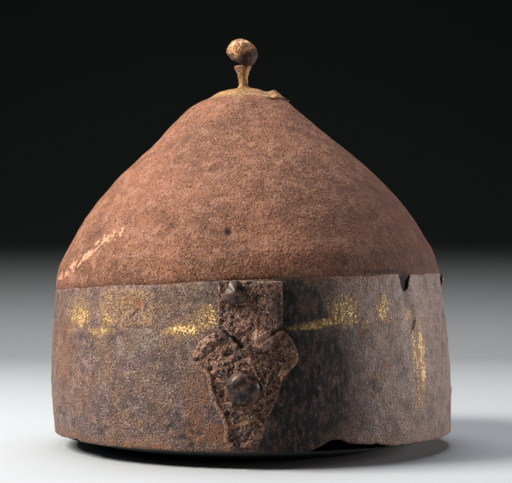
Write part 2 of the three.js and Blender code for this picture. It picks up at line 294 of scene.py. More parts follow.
def beside(here, line, near, far):
    """1 within near of a line of flat points, falling to 0 at far."""
    nearest = np.full(len(here), np.inf)
    corners = np.array(line, float)
    for start, end in zip(corners, corners[1:]):
        along = end - start
        share = np.clip((here - start) @ along / (along @ along), 0, 1)
        nearest = np.minimum(nearest, np.linalg.norm(here - start - share[:, None] * along, axis=1))
    return 1 - smooth(nearest, near, far)


def near_line(azimuth, height, line, half_width, radius=BAND_RADIUS):
    """1 on a line of (degrees, height) points, falling to 0 at its half-width."""
    here = np.stack([azimuth * radius, height], axis=1)
    flat_line = [(math.radians(degrees) * radius, up) for degrees, up in line]
    return beside(here, flat_line, 0.3 * half_width, half_width)


# ---- Materials ----


def linear(hex_colour):
    """An sRGB hex colour as a linear RGBA colour."""
    shares = [int(hex_colour[i : i + 2], 16) / 255 for i in (1, 3, 5)]
    return (*(c / 12.92 if c <= 0.04045 else ((c + 0.055) / 1.055) ** 2.4 for c in shares), 1.0)


def add_node(material, kind, inputs, **settings):
    """Adds one node; each input takes a value, a hex colour or a link from another node's socket."""
    node = material.node_tree.nodes.new(kind)
    for name, value in settings.items():
        setattr(node, name, value)
    for socket, given in inputs.items():
        if isinstance(given, bpy.types.NodeSocket):
            material.node_tree.links.new(given, node.inputs[socket])
        else:
            node.inputs[socket].default_value = linear(given) if isinstance(given, str) else given
    return node


class Finish:
    """A finish being built up: patterns known by name, and coats of colour laid one over another"""

    def __init__(self, name, ground, grains):
        """Grains are noises by name: size of a lump in millimetres, detail, distortion, and any stretch."""
        self.material = bpy.data.materials.new(name)
        self.material.use_nodes = True
        self.material.node_tree.nodes.clear()
        self.colour = ground
        coords = add_node(self.material, "ShaderNodeTexCoord", {}).outputs["Object"]
        split = add_node(self.material, "ShaderNodeSeparateXYZ", {0: coords})
        self.patterns = dict(zip(("across", "deep", "up"), split.outputs))
        for grain, (size, detail, distortion, *stretch) in grains.items():
            inputs = {"Scale": 1 / (size * MM), "Detail": detail, "Roughness": 0.6, "Distortion": distortion}
            inputs["Vector"] = coords
            for axes in stretch:
                squeezed = add_node(self.material, "ShaderNodeMapping", {"Scale": axes, "Vector": coords})
                inputs["Vector"] = squeezed.outputs[0]
            self.patterns[grain] = add_node(self.material, "ShaderNodeTexNoise", inputs).outputs[0]

    def source(self, what):
        """A pattern by its name, a chart of the mesh, or several of them added up by their weights."""
        if isinstance(what, dict):
            total = 0.0
            for name, weight in what.items():
                inputs = {0: self.source(name), 1: weight, 2: total}
                total = add_node(self.material, "ShaderNodeMath", inputs, operation="MULTIPLY_ADD").outputs[0]
            return total
        if what not in self.patterns:
            chart_node = add_node(self.material, "ShaderNodeAttribute", {}, attribute_name=what)
            self.patterns[what] = chart_node.outputs["Fac"]
        return self.patterns[what]

    def cover(self, strength, *masks):
        """How far a coat covers: its strength times each chart, and each (source, low, high) as 0 to 1."""
        for mask in masks:
            if isinstance(mask, tuple):
                what, low, high = mask
                inputs = {"Value": self.source(what), "From Min": low, "From Max": high}
                step = {"interpolation_type": "SMOOTHSTEP"}
                share = add_node(self.material, "ShaderNodeMapRange", inputs, **step).outputs[0]
            else:
                share = self.source(mask)
            inputs = {0: share, 1: strength}
            strength = add_node(self.material, "ShaderNodeMath", inputs, operation="MULTIPLY").outputs[0]
        return strength

    def over(self, under, colour, strength, *masks):
        """One colour laid over another."""
        inputs = {0: self.cover(strength, *masks), 6: under, 7: colour}
        return add_node(self.material, "ShaderNodeMix", inputs, data_type="RGBA").outputs[2]

    def coat(self, colour, strength, *masks):
        """Lays a coat of colour over what is there."""
        self.colour = self.over(self.colour, colour, strength, *masks)

    def shaded(self, bumps, sockets):
        """The finished material: bumps are heights in millimetres by pattern, sockets the shader's own."""
        inputs = {"Base Color": self.colour, **sockets}
        for pattern, height in bumps.items():
            bump = {"Height": self.source(pattern), "Distance": height * MM, "Strength": 1.0}
            if "Normal" in inputs:
                bump["Normal"] = inputs["Normal"]
            inputs["Normal"] = add_node(self.material, "ShaderNodeBump", bump).outputs[0]
        shader = add_node(self.material, "ShaderNodeBsdfPrincipled", inputs)
        add_node(self.material, "ShaderNodeOutputMaterial", {"Surface": shader.outputs[0]})
        return self.material


def rusted_forged_iron(look):
    """Forged iron under an even, dry crust of red-brown rust: matt and granular, with specks of ochre."""
    grains = {
        "clouds": (34, 3, 0.6),
        "middling": (7, 5, 0.2),
        "patches": (3.2, 4, 0),
        "grit": (1.5, 3, 0),
        "fine": (0.7, 2, 0),  # coarser than real rust grains, so that they show
    }
    finish = Finish("rusted_forged_iron", look.bowl_dark, grains)
    finish.coat(look.bowl_rust, 1.0, ("clouds", 0.38, 0.62))
    finish.coat(look.bowl_tan, 0.6, ("middling", 0.45, 0.68))
    finish.coat(look.bowl_ochre, 0.6, ("grit", 0.55, 0.72))
    finish.coat(look.pit, 0.9, ("grit", 0.42, 0.28))
    finish.coat(look.pit, 0.85, ("fine", 0.475, 0.34))
    finish.coat(look.bowl_ochre, 0.6, ("fine", 0.56, 0.7))
    finish.coat(look.worn, 0.8, ({"worn": 1.0, "patches": 1.9}, 1.37, 1.57))
    finish.coat(look.grey_green, 0.7, ({"green": 1.0, "patches": 1.9}, 1.45, 1.7))
    # Darker violet over the bowl's right half: partly a violet tone of the rust, partly painted shade on the
    # side away from the key lamp.
    finish.coat(look.bowl_violet_shade, 0.62, ("across", 0.0, 0.09))
    finish.coat(look.pit, 1.0, "shade")
    return finish.shaded({"middling": 0.7, "grit": 0.95, "fine": 0.45}, {"Roughness": 0.75, "IOR": 1.3})


CORRODED_GRAINS = {
    "wide": (22, 4, 0.8),
    "mottle": (8, 5, 0.4),
    "middling": (5, 5, 0.2),
    "streaks": (2.6, 4, 0.3, (1.4, 1.4, 0.6)),  # drawn out upwards
    "grit": (1.4, 3, 0),
    "flecks": (0.9, 4, 0),
    "fine": (0.7, 2, 0),
}


def corroded(finish, look, smooth_and_highlight_colour, smooth_share, pits, bumps):
    """What the band and the mount share: crusts, fresh rust, smooth places partly painted as highlights,
    blue-black specks and painted shade, gilding and pits.
    """
    crust = finish.over(look.crust_dark, look.crust_pale, 1.0, ("grit", 0.35, 0.6))
    finish.coat(crust, 0.9, "encrusted", ("streaks", 0.34, 0.52))
    finish.coat(look.rust_orange, 1.0, ({"rust": 1.0, "middling": 1.0}, 0.8, 1.15))
    # Smooth places; on the mount they are partly painted highlight.
    finish.coat(smooth_and_highlight_colour, smooth_share, "polish")
    # Blue-black coat: real dark specks, and painted shade on the band right of the mount, where the lamps
    # leave it dark.
    finish.coat(look.band_black_and_shade, 1.0, "dark_specks_and_shade", ("streaks", 0.68, 0.46))
    stained = ({"gilding": 1.0, "streaks": 1.8}, 1.0, 1.65)
    finish.coat(look.ochre_stain, 0.85, stained, ("gilding", 0.02, 0.25))
    flaked = ({"gilding": 0.5, "flecks": 3.0, "streaks": 1.8}, 2.92, 3.26)
    gilt = finish.cover(1.0, flaked, ("gilding", 0.04, 0.2))
    finish.coat(look.gilt, gilt)
    finish.coat(look.pit, 0.92, ("grit", *pits))
    finish.coat(look.pit, 0.92, ("fine", 0.475, 0.34))
    finish.coat(look.pit, 1.0, "shade")
    dull = {"Value": finish.source("grit"), "From Min": 0.3, "From Max": 0.7, "To Min": 0.42, "To Max": 0.66}
    finish.patterns["dull"] = add_node(finish.material, "ShaderNodeMapRange", dull).outputs[0]
    finish.patterns["gilt"] = gilt
    sockets = {"Roughness": finish.source({"dull": 1.0, "dark_specks_and_shade": 0.25}), "Metallic": finish.cover(0.6, "gilt")}
    return finish.shaded(bumps, {**sockets, "Coat Weight": 0.06, "Coat Roughness": 0.38})


def corroded_waxed_iron(look):
    """Corroded iron, cleaned and waxed: a violet-brown skin with a soft grey sheen, rust in its pits, and the
    remains of gilding."""
    finish = Finish("corroded_waxed_iron", look.band_violet, CORRODED_GRAINS)
    finish.coat(look.band_brown, 1.0, ("wide", 0.42, 0.58))
    finish.coat(look.band_grey, 1.0, ("middling", 0.5, 0.66))
    # Painted sheen: a paler grey-lilac over the band's right side stands in for the reflection of the lamp on
    # the right.
    finish.coat(look.band_right_sheen, 0.6, ("across", 0.03, 0.08), ("mottle", 0.3, 0.65))
    finish.coat(look.band_ochre, 1.0, ("mottle", 0.54, 0.66), ("grit", 0.42, 0.6))
    finish.coat(look.band_pink, 0.8, ("fine", 0.54, 0.66))
    finish.coat(look.band_red, 0.75, ("streaks", 0.54, 0.66))
    finish.coat(look.pit, 0.7, ("streaks", 0.44, 0.32))
    finish.coat(look.band_blotch, 0.6, ("mottle", 0.49, 0.36))
    bumps = {"middling": 0.25, "grit": 0.6, "fine": 0.7}
    return corroded(finish, look, look.smooth_grey, 0.55, (0.42, 0.29), bumps)


def corroded_pitted_iron(look):
    """Deeply pitted iron: a rough red-brown crust with pale grains, dark in its pits, smooth where worn, and
    painted lighter as a highlight on its lit edges.
    """
    finish = Finish("corroded_pitted_iron", look.mount_dark, CORRODED_GRAINS)
    finish.coat(look.mount_brown, 1.0, ("middling", 0.4, 0.6))
    finish.coat(look.mount_grain, 0.75, ("fine", 0.52, 0.66))
    finish.coat(look.band_red, 0.6, ("mottle", 0.52, 0.64))
    bumps = {"middling": 0.9, "grit": 2.0, "fine": 0.7}
    return corroded(finish, look, look.mount_smooth_and_highlight, 1.0, (0.49, 0.33), bumps)


def rubbed_dark_iron(look):
    """Iron rivet heads rubbed dark and smooth: nearly black brown, with a small soft highlight."""
    finish = Finish("rubbed_dark_iron", look.rivet_dark, {"middling": (4, 4, 0.4), "grit": (1.3, 3, 0)})
    # Browner patches laid at random, made lighter as a painted highlight.
    finish.coat(look.rivet_brown_highlight, 1.0, ("middling", 0.4, 0.65))
    finish.coat(look.rivet_brown_highlight, 0.5, ("grit", 0.55, 0.7))
    sockets = {"Roughness": 0.6, "IOR": 1.25, "Coat Weight": 0.3, "Coat Roughness": 0.3}
    return finish.shaded({"middling": 0.45, "grit": 0.25}, sockets)


def weathered_copper_alloy(look):
    """Cast copper alloy gone brown in the ground: ochre and yellow where rubbed, rust-red near the iron."""
    grains = {"middling": (6, 4, 0.5), "patches": (4, 5, 0), "grit": (1.5, 3, 0), "fine": (0.7, 2, 0)}
    finish = Finish("weathered_copper_alloy", look.copper_brown, grains)
    finish.coat(look.copper_ochre, 1.0, ("middling", 0.42, 0.62))
    finish.coat(look.copper_yellow, 0.6, ("grit", 0.52, 0.68))
    finish.coat(look.bowl_rust, 1.0, ({"rust": 1.0, "patches": 1.6}, 1.18, 1.42))
    finish.coat(look.pit, 0.8, ("grit", 0.43, 0.3))
    return finish.shaded({"middling": 0.6, "grit": 0.5, "fine": 0.2}, {"Roughness": 0.6, "Metallic": 0.25})


def rubbed_copper_alloy(look):
    """Cast copper alloy rubbed bright: coppery metal with a glint, a dark crease, and painted shade darkening
    its lower right side.
    """
    finish = Finish("rubbed_copper_alloy", look.knob_brown, {"middling": (5, 3, 0.6), "grit": (1.2, 3, 0)})
    finish.coat(look.knob_copper, 1.0, ("middling", 0.4, 0.6))
    # Dark along the crease, and painted shade on the knob's lower right side.
    darkened = finish.cover(1.0, ({"tarnish_and_shade": 1.0, "grit": 1.0}, 0.85, 1.2))
    finish.coat(look.knob_tarnish_and_shade, darkened)
    finish.coat(look.pit, 0.85, ("grit", 0.5, 0.38))
    dull = {"Value": darkened, "To Min": 0.4, "To Max": 0.65}
    roughness = add_node(finish.material, "ShaderNodeMapRange", dull).outputs[0]
    return finish.shaded({"middling": 0.5, "grit": 0.8}, {"Roughness": roughness, "Metallic": 0.6})


# ---- Settings a user would change ----


def colour_property(name, hex_default, description):
    """A colour that the user can pick."""
    return bpy.props.FloatVectorProperty(
        name=name, description=description, default=linear(hex_default), size=4, min=0, max=1, subtype="COLOR"
    )


class HelmetLook(bpy.types.PropertyGroup):
    """Colours of the finishes"""

    bowl_rust: colour_property("Bowl rust", "#7d5342", "The bowl's even red-brown rust")
    bowl_dark: colour_property("Bowl dark rust", "#644235", "Darker, more violet clouds in the bowl's rust")
    # Also painted shade: it darkens the whole right half of the bowl.
    bowl_violet_shade: colour_property("Bowl violet", "#3e2423", "The darker rust of the bowl's right side")
    bowl_tan: colour_property("Bowl tan", "#9b7362", "Paler, drier rust on the bowl")
    bowl_ochre: colour_property("Bowl ochre", "#b07d52", "Specks of ochre in the bowl's rust")
    pit: colour_property("Pit", "#1d1413", "The bottom of a pit")
    worn: colour_property("Worn", "#c09479", "Places rubbed pale")
    grey_green: colour_property("Grey green", "#6f6f60", "Small grey-green stains")
    band_violet: colour_property("Band violet", "#594145", "The band's violet-brown skin")
    band_brown: colour_property("Band brown", "#694a38", "Its browner clouds")
    band_grey: colour_property("Band grey", "#877268", "Its grey sheen")
    band_ochre: colour_property("Band ochre", "#866340", "Ochre mottling")
    band_pink: colour_property("Band crumbs", "#b08f7e", "Pinkish grains")
    band_red: colour_property("Band red", "#4e2d22", "Rust-red streaks")
    band_blotch: colour_property("Band blotches", "#35211e", "Dark red-brown blotches on the band")
    # Also painted shade, laid on the band right of the mount.
    band_black_and_shade: colour_property("Band black", "#0d0e11", "Blue-black places on the band")
    # A painted sheen on the band's right side.
    band_right_sheen: colour_property("Band lilac", "#96848a", "The greyer skin of the band's right side")
    crust_dark: colour_property("Dark crust", "#6f4c36", "Hollows of the crust")
    crust_pale: colour_property("Pale crust", "#b08c66", "Grains of the crust")
    rust_orange: colour_property("Fresh rust", "#80502f", "Orange-brown rust")
    smooth_grey: colour_property("Smooth grey", "#7b6d60", "A smooth khaki-grey patch")
    ochre_stain: colour_property("Ochre stain", "#8b6a3a", "Stain round the gilding")
    gilt: colour_property("Gilt", "#ecca90", "The remains of gilding")
    mount_brown: colour_property("Mount brown", "#b37d64", "Brown crust on the mount")
    mount_dark: colour_property("Mount dark", "#5f3d33", "Dark red-brown of the mount")
    mount_grain: colour_property("Mount grains", "#eac2a8", "Pale grains on the mount")
    # Also a painted highlight on the mount's lit lobe edge, worn join and the nick's lip.
    mount_smooth_and_highlight: colour_property("Mount smooth", "#cf9e86", "Pinkish places worn smooth on the mount")
    rivet_dark: colour_property("Dark rivet", "#120e0d", "Rubbed rivet heads")
    # Lightened as a painted highlight on the rivet heads.
    rivet_brown_highlight: colour_property("Brown rivet", "#5c453c", "Their browner side")
    copper_brown: colour_property("Copper brown", "#70502f", "Brown copper alloy")
    copper_ochre: colour_property("Copper ochre", "#96703c", "Ochre copper alloy")
    copper_yellow: colour_property("Copper yellow", "#c2a066", "Rubbed yellow alloy")
    knob_brown: colour_property("Knob brown", "#8a5a40", "The knob's duller copper")
    knob_copper: colour_property("Knob copper", "#b8926a", "Its rubbed copper")
    # Also painted shade on the knob's lower right side.
    knob_tarnish_and_shade: colour_property("Knob tarnish", "#3a2723", "Its dark tarnish")
    floor: colour_property("Floor", "#9fa6ae", "The pale floor, under strong light")


class HelmetShape(bpy.types.PropertyGroup):
    """Sizes of the corrosion, and how finely the pieces are divided"""

    bowl_steps: bpy.props.IntProperty(
        name="Bowl steps", description="Divisions round the bowl", default=480, min=60, max=600
    )
    band_steps: bpy.props.IntProperty(
        name="Band steps", description="Divisions round the band", default=640, min=60, max=720
    )
    ledge_step: bpy.props.FloatProperty(
        name="Ledge",
        description="How far the strip under the seam lies back",
        default=0.5 * MM,
        min=0.0,
        max=1.0 * MM,
        precision=5,
        unit="LENGTH",
    )
    pit_depth: bpy.props.FloatProperty(
        name="Pit depth",
        description="Depth of the mount's corrosion pits",
        default=0.75 * MM,
        min=0.0,
        max=1.5 * MM,
        precision=5,
        unit="LENGTH",
    )


# ---- Pieces ----

# Marks on the band and the bowl: (degrees round from the front, height, half-width, half-height, strength)
GILDING = (
    (-53.0, 63.5, 10.0, 6.5, 1.15),
    (-40.0, 62.0, 5.5, 3.5, 0.8),
    (-43.0, 56.0, 13.0, 2.6, 0.85),
    (-36.0, 70.0, 5.5, 2.2, 0.55),
    (-17.0, 56.0, 11.0, 3.6, 1.3),
    (-10.5, 61.5, 7.0, 6.5, 0.95),
    (26.0, 61.0, 10.0, 8.5, 1.0),
    (18.0, 55.8, 17.0, 2.4, 1.0),
    (38.5, 62.5, 6.0, 7.5, 1.05),
    (49.0, 66.5, 3.2, 6.5, 0.9),
    (49.5, 47.0, 3.2, 17.0, 0.95),
    (52.6, 39.0, 3.8, 22.0, 1.25),
    (50.0, 24.0, 3.6, 12.0, 0.75),
    (152.0, 60.0, 9.0, 3.5, 0.7),
    (-140.0, 58.0, 12.0, 2.5, 0.7),
    (118.0, 64.0, 6.0, 4.5, 0.6),
)
GILT_RING = (31.8, 55.5, 1.5)  # degrees, height, radius
FRESH_RUST = (
    (-13.5, 24.0, 9.0, 24.0, 0.5),
    (-12.0, 9.0, 20.0, 9.0, 0.55),
    (-48.0, 20.0, 14.0, 14.0, 0.36),
    (-62.0, 40.0, 14.0, 42.0, 0.42),
    (-35.0, 70.0, 30.0, 9.0, 0.36),
    (-18.0, 66.0, 16.0, 12.0, 0.33),
    (-30.0, 68.5, 3.0, 5.0, 0.9),
    (30.0, 51.0, 1.6, 4.5, 0.8),
    (38.0, 36.0, 2.4, 3.5, 0.8),
    (34.5, 31.0, 2.0, 3.0, 0.8),
    (24.0, 6.0, 12.0, 4.0, 0.45),
    (-170.0, 30.0, 14.0, 10.0, 0.5),
    (105.0, 20.0, 10.0, 9.0, 0.5),
)
LEDGE = (56.2, 57.4)  # the strip above it lies back from the band's face
CRUSTS = ((-54, 66, 16, 12, 0.5), (60, 60, 5, 12, 0.35), (165, 45, 20, 12, 0.7), (-120, 62, 18, 9, 0.7))
# A blue-black patch right of the mount, darkened further as painted shade.
DARK_PATCH_AND_SHADE = ((12.0, 30.0, 33.0, 46.0, 1.3), (11.0, 66.0, 24.0, 18.0, 1.1))
SOOT_SPECKS = ((-16.5, 7.0, 9.0, 7.0, 1.2), (-43.0, 8.0, 7.0, 6.0, 0.6), (-21.0, 14.0, 6.0, 6.0, 0.9))
SMOOTH_PATCH = ((-28.0, 51.5, 8.5, 7.5, 0.9),)
NOTCH_SHADE = ((48.3, 73.0, 4.4, 6.0, 0.9),)
BOWL_PIT = ((-4.8, 100.3, 1.9, 1.9, 1.0),)
GREEN_STAINS = ((-50, 113, 5, 4, 0.5), (-35, 164, 9, 5, 0.5), (150, 120, 8, 6, 0.5))

# Lines on the band and the bowl: (degrees, height)
BOWL_SCRATCH = ((-63, 90), (-58, 99), (-52, 104))
BOWL_STREAK = ((-76, 79), (-69, 83), (-58.5, 89), (-51, 95), (-48, 100.5), (-41, 102))
CRACKS = (((-31.5, 63), (-30, 66)), ((-27.4, 66), (-27.2, 69)))

RUST_LINES = (  # with half-width and strength
    (((-24, 58.8), (-14, 58.6)), 1.2, 0.5),
    (((12, 56.7), (28, 56.2)), 1.2, 0.55),
    (((3, 76.7), (40, 76.9)), 1.3, 0.75),
    (((-62.5, 64), (-57, 50), (-52.5, 36)), 1.1, 0.54),
)

# Depths missing from the rim and from the top edge: (degrees, depth)
RIM_LOSS = ((14.5, 0), (20.5, 4.8), (23, 4.9), (25.5, 2.8), (33, 1.6), (33.5, 2.6), (34.6, 1.4), (39, 0))
SIDE_NICKS = ((-63.5, 0), (-62.5, 0.7), (-57.5, 0.5), (-57, 1.1), (-54, 0.5), (-52.5, 0))
TOP_LOSS = ((45.7, 0), (46.5, 6.0), (47.8, 8.4), (49.8, 6.5), (51.1, 0))


def loss_at(azimuth, table):
    """The depth missing from an edge, from rows of (degrees, depth)."""
    degrees, depths = zip(*table)
    return np.interp(np.degrees(azimuth), degrees, depths, left=0, right=0)


def bowl_profile():
    """The closed section of the bowl's wall: up the outside and down the inside."""
    seat = BAND_THICKNESS + SKIRT_CLEARANCE
    skirt = [(float(band_radius(h)) - seat, h) for h in np.linspace(SKIRT_BOTTOM, BAND_HEIGHT - 3, 5)]
    skirt.extend(RUST_FILLET)
    crown_start = (CROWN_START, float(crown_height(CROWN_START)))
    cone = spaced([*BOWL_OUTLINE, crown_start], 128)
    crown = [(r, float(crown_height(r))) for r in np.linspace(CROWN_START, TANG_RADIUS + GAP, 18)[1:]]
    outer = np.array([*skirt, *cone, *crown])
    inner = inset(outer[::4], BOWL_THICKNESS)
    inner[-1, 0] = TANG_RADIUS + GAP
    inner[0, 1] = SKIRT_BOTTOM
    return np.vstack([outer, inner[::-1]]), len(outer)


def build_bowl(look, shape):
    """The conical bowl: hollow, pitted and granular, with its skirt behind the band."""
    profile, outer_count = bowl_profile()
    mesh = spun(profile, shape.bowl_steps, "skull_bowl_iron")
    radius, azimuth, height = cylinder_places(mesh)
    outer_line = profile[:outer_count]
    order = np.argsort(outer_line[:, 0])
    wall_height = np.interp(radius, outer_line[order, 0], outer_line[order, 1])
    outside = (height > wall_height - BOWL_THICKNESS * 0.5) | (height < SKIRT_TOP)
    place(mesh, on_bowl(radius, azimuth, height))
    places, normals = places_of(mesh), of_vertices(mesh, "normal")
    proud = smooth(height, SKIRT_TOP, SKIRT_TOP + 4) * outside
    relief = lumps(places, [(60, 0.5), (22, 0.28), (9, 0.22), (4, 0.22)], 3) * proud
    relief += lumps(places, [(16, 0.25), (5, 0.15)], 9) * (~outside) * 0.6
    pit = marks(azimuth, height, BOWL_PIT, radius=95) * proud
    relief -= 0.9 * pit
    relief -= 0.25 * near_line(azimuth, height, BOWL_SCRATCH, 1.6, radius=95) * proud
    place(mesh, places + normals * relief[:, None])
    chart(mesh, "worn", 0.5 * near_line(azimuth, height, BOWL_STREAK, 5.4, radius=92) * proud)
    chart(mesh, "green", marks(azimuth, height, GREEN_STAINS, radius=80))
    seam = near_line(azimuth, height, ((33, 79.6), (46, 79.8)), 1.5, radius=100)
    behind_notch = marks(azimuth, height, ((48.3, 72.0, 8.0, 9.0, 1.0),), radius=100)
    chart(mesh, "shade", np.maximum.reduce([pit, 0.6 * seam, behind_notch]))
    add_piece(mesh, rusted_forged_iron(look), "skull_bowl")


def band_profile():
    """The closed section of the band's wall, with its two edges rounded."""
    edge = 0.4
    heights = np.linspace(edge, BAND_HEIGHT - edge, 76)
    outer = [(float(band_radius(h)), h) for h in heights]
    inner = [(float(band_radius(h)) - BAND_THICKNESS, h) for h in heights[::4]]
    foot = [(float(band_radius(0)) - BAND_THICKNESS + edge, 0.0), (float(band_radius(0)) - edge, 0.0)]
    top = [
        (float(band_radius(BAND_HEIGHT)) - edge, BAND_HEIGHT),
        (float(band_radius(BAND_HEIGHT)) - BAND_THICKNESS + edge, BAND_HEIGHT),
    ]
    return np.array([*foot, *outer, *top, *inner[::-1]])


def build_band(look, shape):
    """The brow band: a chipped rim, a notched top, crusts, a smooth patch and the remains of gilding."""
    mesh = spun(band_profile(), shape.band_steps, "brow_band_iron")
    radius, azimuth, height = cylinder_places(mesh)
    outside = radius > band_radius(height) - BAND_THICKNESS / 2
    recess = shape.ledge_step / MM * smooth(height, *LEDGE) * outside
    along_edge = np.stack([azimuth * BAND_RADIUS, 0 * azimuth, 0 * azimuth], axis=1)
    rim_wave = 0.35 * np.abs(noise_at(along_edge, 5, 5))
    rim_cut = loss_at(azimuth, RIM_LOSS) + loss_at(azimuth, SIDE_NICKS) + rim_wave
    top_cut = loss_at(azimuth, TOP_LOSS) + 0.5 * noise_at(along_edge, 9, 6) + 0.3
    cut_height = rim_cut + (BAND_HEIGHT - top_cut - rim_cut) * (height / BAND_HEIGHT)
    place(mesh, on_band(radius - recess, azimuth, cut_height))
    places, normals = places_of(mesh), of_vertices(mesh, "normal")
    relief = lumps(places, [(45, 0.3), (16, 0.2), (7, 0.18), (3.4, 0.2)], 21) * np.where(outside, 1.0, 0.6)
    crust = encrusted_at(azimuth, height)
    relief += outside * crust * (0.45 + 0.4 * noise_at(places, 2.6, 31))
    relief += outside * np.maximum(noise_at(places, 6.5, 37) - 0.3, 0) * 0.9  # blisters
    keep = smooth(height, 0, 3) * (1 - smooth(height, BAND_HEIGHT - 1.5, BAND_HEIGHT))
    polish = marks(azimuth, height, SMOOTH_PATCH) * outside
    relief *= (0.35 + 0.65 * keep) * (1 - 0.7 * polish)
    moved = places + normals * relief[:, None]
    moved[:, 2] = np.maximum(moved[:, 2], np.where(height <= 0, places[:, 2], 0.0))
    place(mesh, moved)
    ring_degrees, ring_height, ring_radius = GILT_RING
    across_ring = (azimuth - math.radians(ring_degrees)) * BAND_RADIUS
    from_ring = np.abs(np.hypot(across_ring, height - ring_height) - ring_radius)
    gilt_ring = 0.95 * (1 - smooth(from_ring, 0.5, 1.0))
    chart(mesh, "gilding", np.maximum(marks(azimuth, height, GILDING), gilt_ring) * outside)
    chart(mesh, "encrusted", crust * outside)
    rust_lines = [strength * near_line(azimuth, height, line, wide) for line, wide, strength in RUST_LINES]
    rim_rust = 0.42 * (1 - smooth(height, 2, 9))
    chart(mesh, "rust", np.maximum.reduce([marks(azimuth, height, FRESH_RUST), rim_rust, *rust_lines]))
    chart(mesh, "polish", polish)
    cracks = [near_line(azimuth, height, line, 1.0) for line in CRACKS]
    chart(mesh, "shade", np.maximum.reduce([marks(azimuth, height, NOTCH_SHADE), *cracks]) * outside)
    # Painted shade right of the mount, and small blue-black specks further left.
    dark = marks(azimuth, height, DARK_PATCH_AND_SHADE) * (1.0 + 0.6 * noise_at(places, 9, 61))
    specks = marks(azimuth, height, SOOT_SPECKS) * smooth(noise_at(places, 3, 63), -0.1, 0.3)
    chart(mesh, "dark_specks_and_shade", np.clip(np.maximum(dark, specks), 0, 1) * outside)
    add_piece(mesh, corroded_waxed_iron(look), "brow_band")


def encrusted_at(azimuth, height):
    """The crusted rectangle left of the mount, and smaller crusts elsewhere."""
    degrees = np.degrees(azimuth)
    sides = smooth(degrees, -44.5, -41.5) * (1 - smooth(degrees, -25.0, -24.2))
    left = sides * smooth(height, 57.5, 59.5) * (1 - smooth(height, 75, 77)) * 0.85
    return np.maximum(left, marks(azimuth, height, CRUSTS))


def slab(outline_points, thickness):
    """An outline in x and z as a closed slab, from y = 0 out to -thickness."""
    bm = bmesh.new()
    face = bm.faces.new([bm.verts.new((x * MM, 0, z * MM)) for x, z in outline_points])
    extruded = bmesh.ops.extrude_face_region(bm, geom=[face])
    raised = [v for v in extruded["geom"] if isinstance(v, bmesh.types.BMVert)]
    bmesh.ops.translate(bm, vec=(0, -thickness * MM, 0), verts=raised)
    return mesh_from(bm, "slab")


def remeshed(meshes, name):
    """Joins closed meshes into one even skin."""
    joined = bmesh.new()
    for mesh in meshes:
        joined.from_mesh(mesh)
        bpy.data.meshes.remove(mesh)
    whole = bpy.data.meshes.new(name + "_whole")
    joined.to_mesh(whole)
    joined.free()
    holder = in_scene(name + "_whole", whole)
    skin = holder.modifiers.new("Skin", "REMESH")
    skin.mode = "VOXEL"
    skin.voxel_size = MOUNT_FINENESS * MM
    graph = bpy.context.evaluated_depsgraph_get()
    mesh = bpy.data.meshes.new_from_object(holder.evaluated_get(graph))
    bpy.data.objects.remove(holder)
    bpy.data.meshes.remove(whole)
    mesh.name = name
    mesh.shade_smooth()
    return mesh


MOUNT_FINENESS = 0.42
BLOCK_OUTLINE = (
    (-15.4, 77.2), (-15.4, 55.6), (-11.8, 55.0), (-4.4, 47.4),
    (4.3, 47.2), (10.2, 53.2), (13.7, 54.6), (13.7, 77.2),
)
PLATE_LEFT = (
    (-17.0, 53.9), (-22.6, 51.0), (-26.6, 45.6), (-26.8, 42.2), (-24.2, 37.6), (-20.8, 34.8), (-20.0, 29.6),
    (-17.8, 22.6), (-14.4, 16.2), (-12.6, 10.8), (-12.8, 5.4), (-10.2, 2.7),
)
PLATE_RIGHT = (
    (2.6, 2.7), (5.1, 9.1), (6.3, 14.8), (8.8, 19.6), (11.5, 25.9), (13.4, 32.3), (15.6, 35.6),
    (20.1, 40.2), (20.5, 44.4), (17.6, 51.0), (13.4, 55.0), (10.0, 53.6),
)
PLATE_TOP = ((4.5, 50.0), (-4.6, 50.0))  # the crust runs on under the block's foot
TONGUE = ((-1.6, 42.0), (8.4, 36.6), (5.6, 27.8))
BLOCK_THICKNESS = 3.6
PLATE_THICKNESS = 2.6
TONGUE_THICKNESS = 5.2
NICK_DEPTH = 2.0


def bent_to_band(mesh, relief):
    """Bends a slab onto the band's face; relief is added outwards on its front and edges."""
    x, y, z = places_of(mesh).T
    proud = -y
    front = smooth(proud, 0.2, 1.2)
    place(mesh, band_face(x, z, GAP + proud + relief * front))


def mount_places(mesh):
    """A slab's places seen from the front: across, up, both together, and both laid flat in space."""
    places = places_of(mesh)
    x, z = places[:, 0], places[:, 2]
    return x, z, np.stack([x, z], axis=1), np.stack([x, 0 * x, z], axis=1)


def worn_join(x, z):
    """The smooth, swollen place where the block runs into the plate."""
    return 1 - smooth(np.hypot((x - 4.6) / 5.0, (z - 50.6) / 4.8), 0.5, 1.2)


def nick_at(here):
    """A slanting nick at the block's foot: how deep each place lies in it, and its upper lip, painted lighter
    as a highlight.
    """
    nick = beside(here, ((-8.6, 52.0), (-4.4, 47.8)), 0.5, 1.1)
    return nick, beside(here, ((-11.4, 55.2), (-7.0, 51.2)), 0.5, 1.1) * (1 - nick)


def chart_mount(mesh, **charts):
    """The charts of the mount's finish, 0 where none is given."""
    for name in ("polish", "shade", "rust", "gilding", "encrusted", "dark_specks_and_shade"):
        chart(mesh, name, np.zeros(len(mesh.vertices)) + charts.get(name, 0.0))


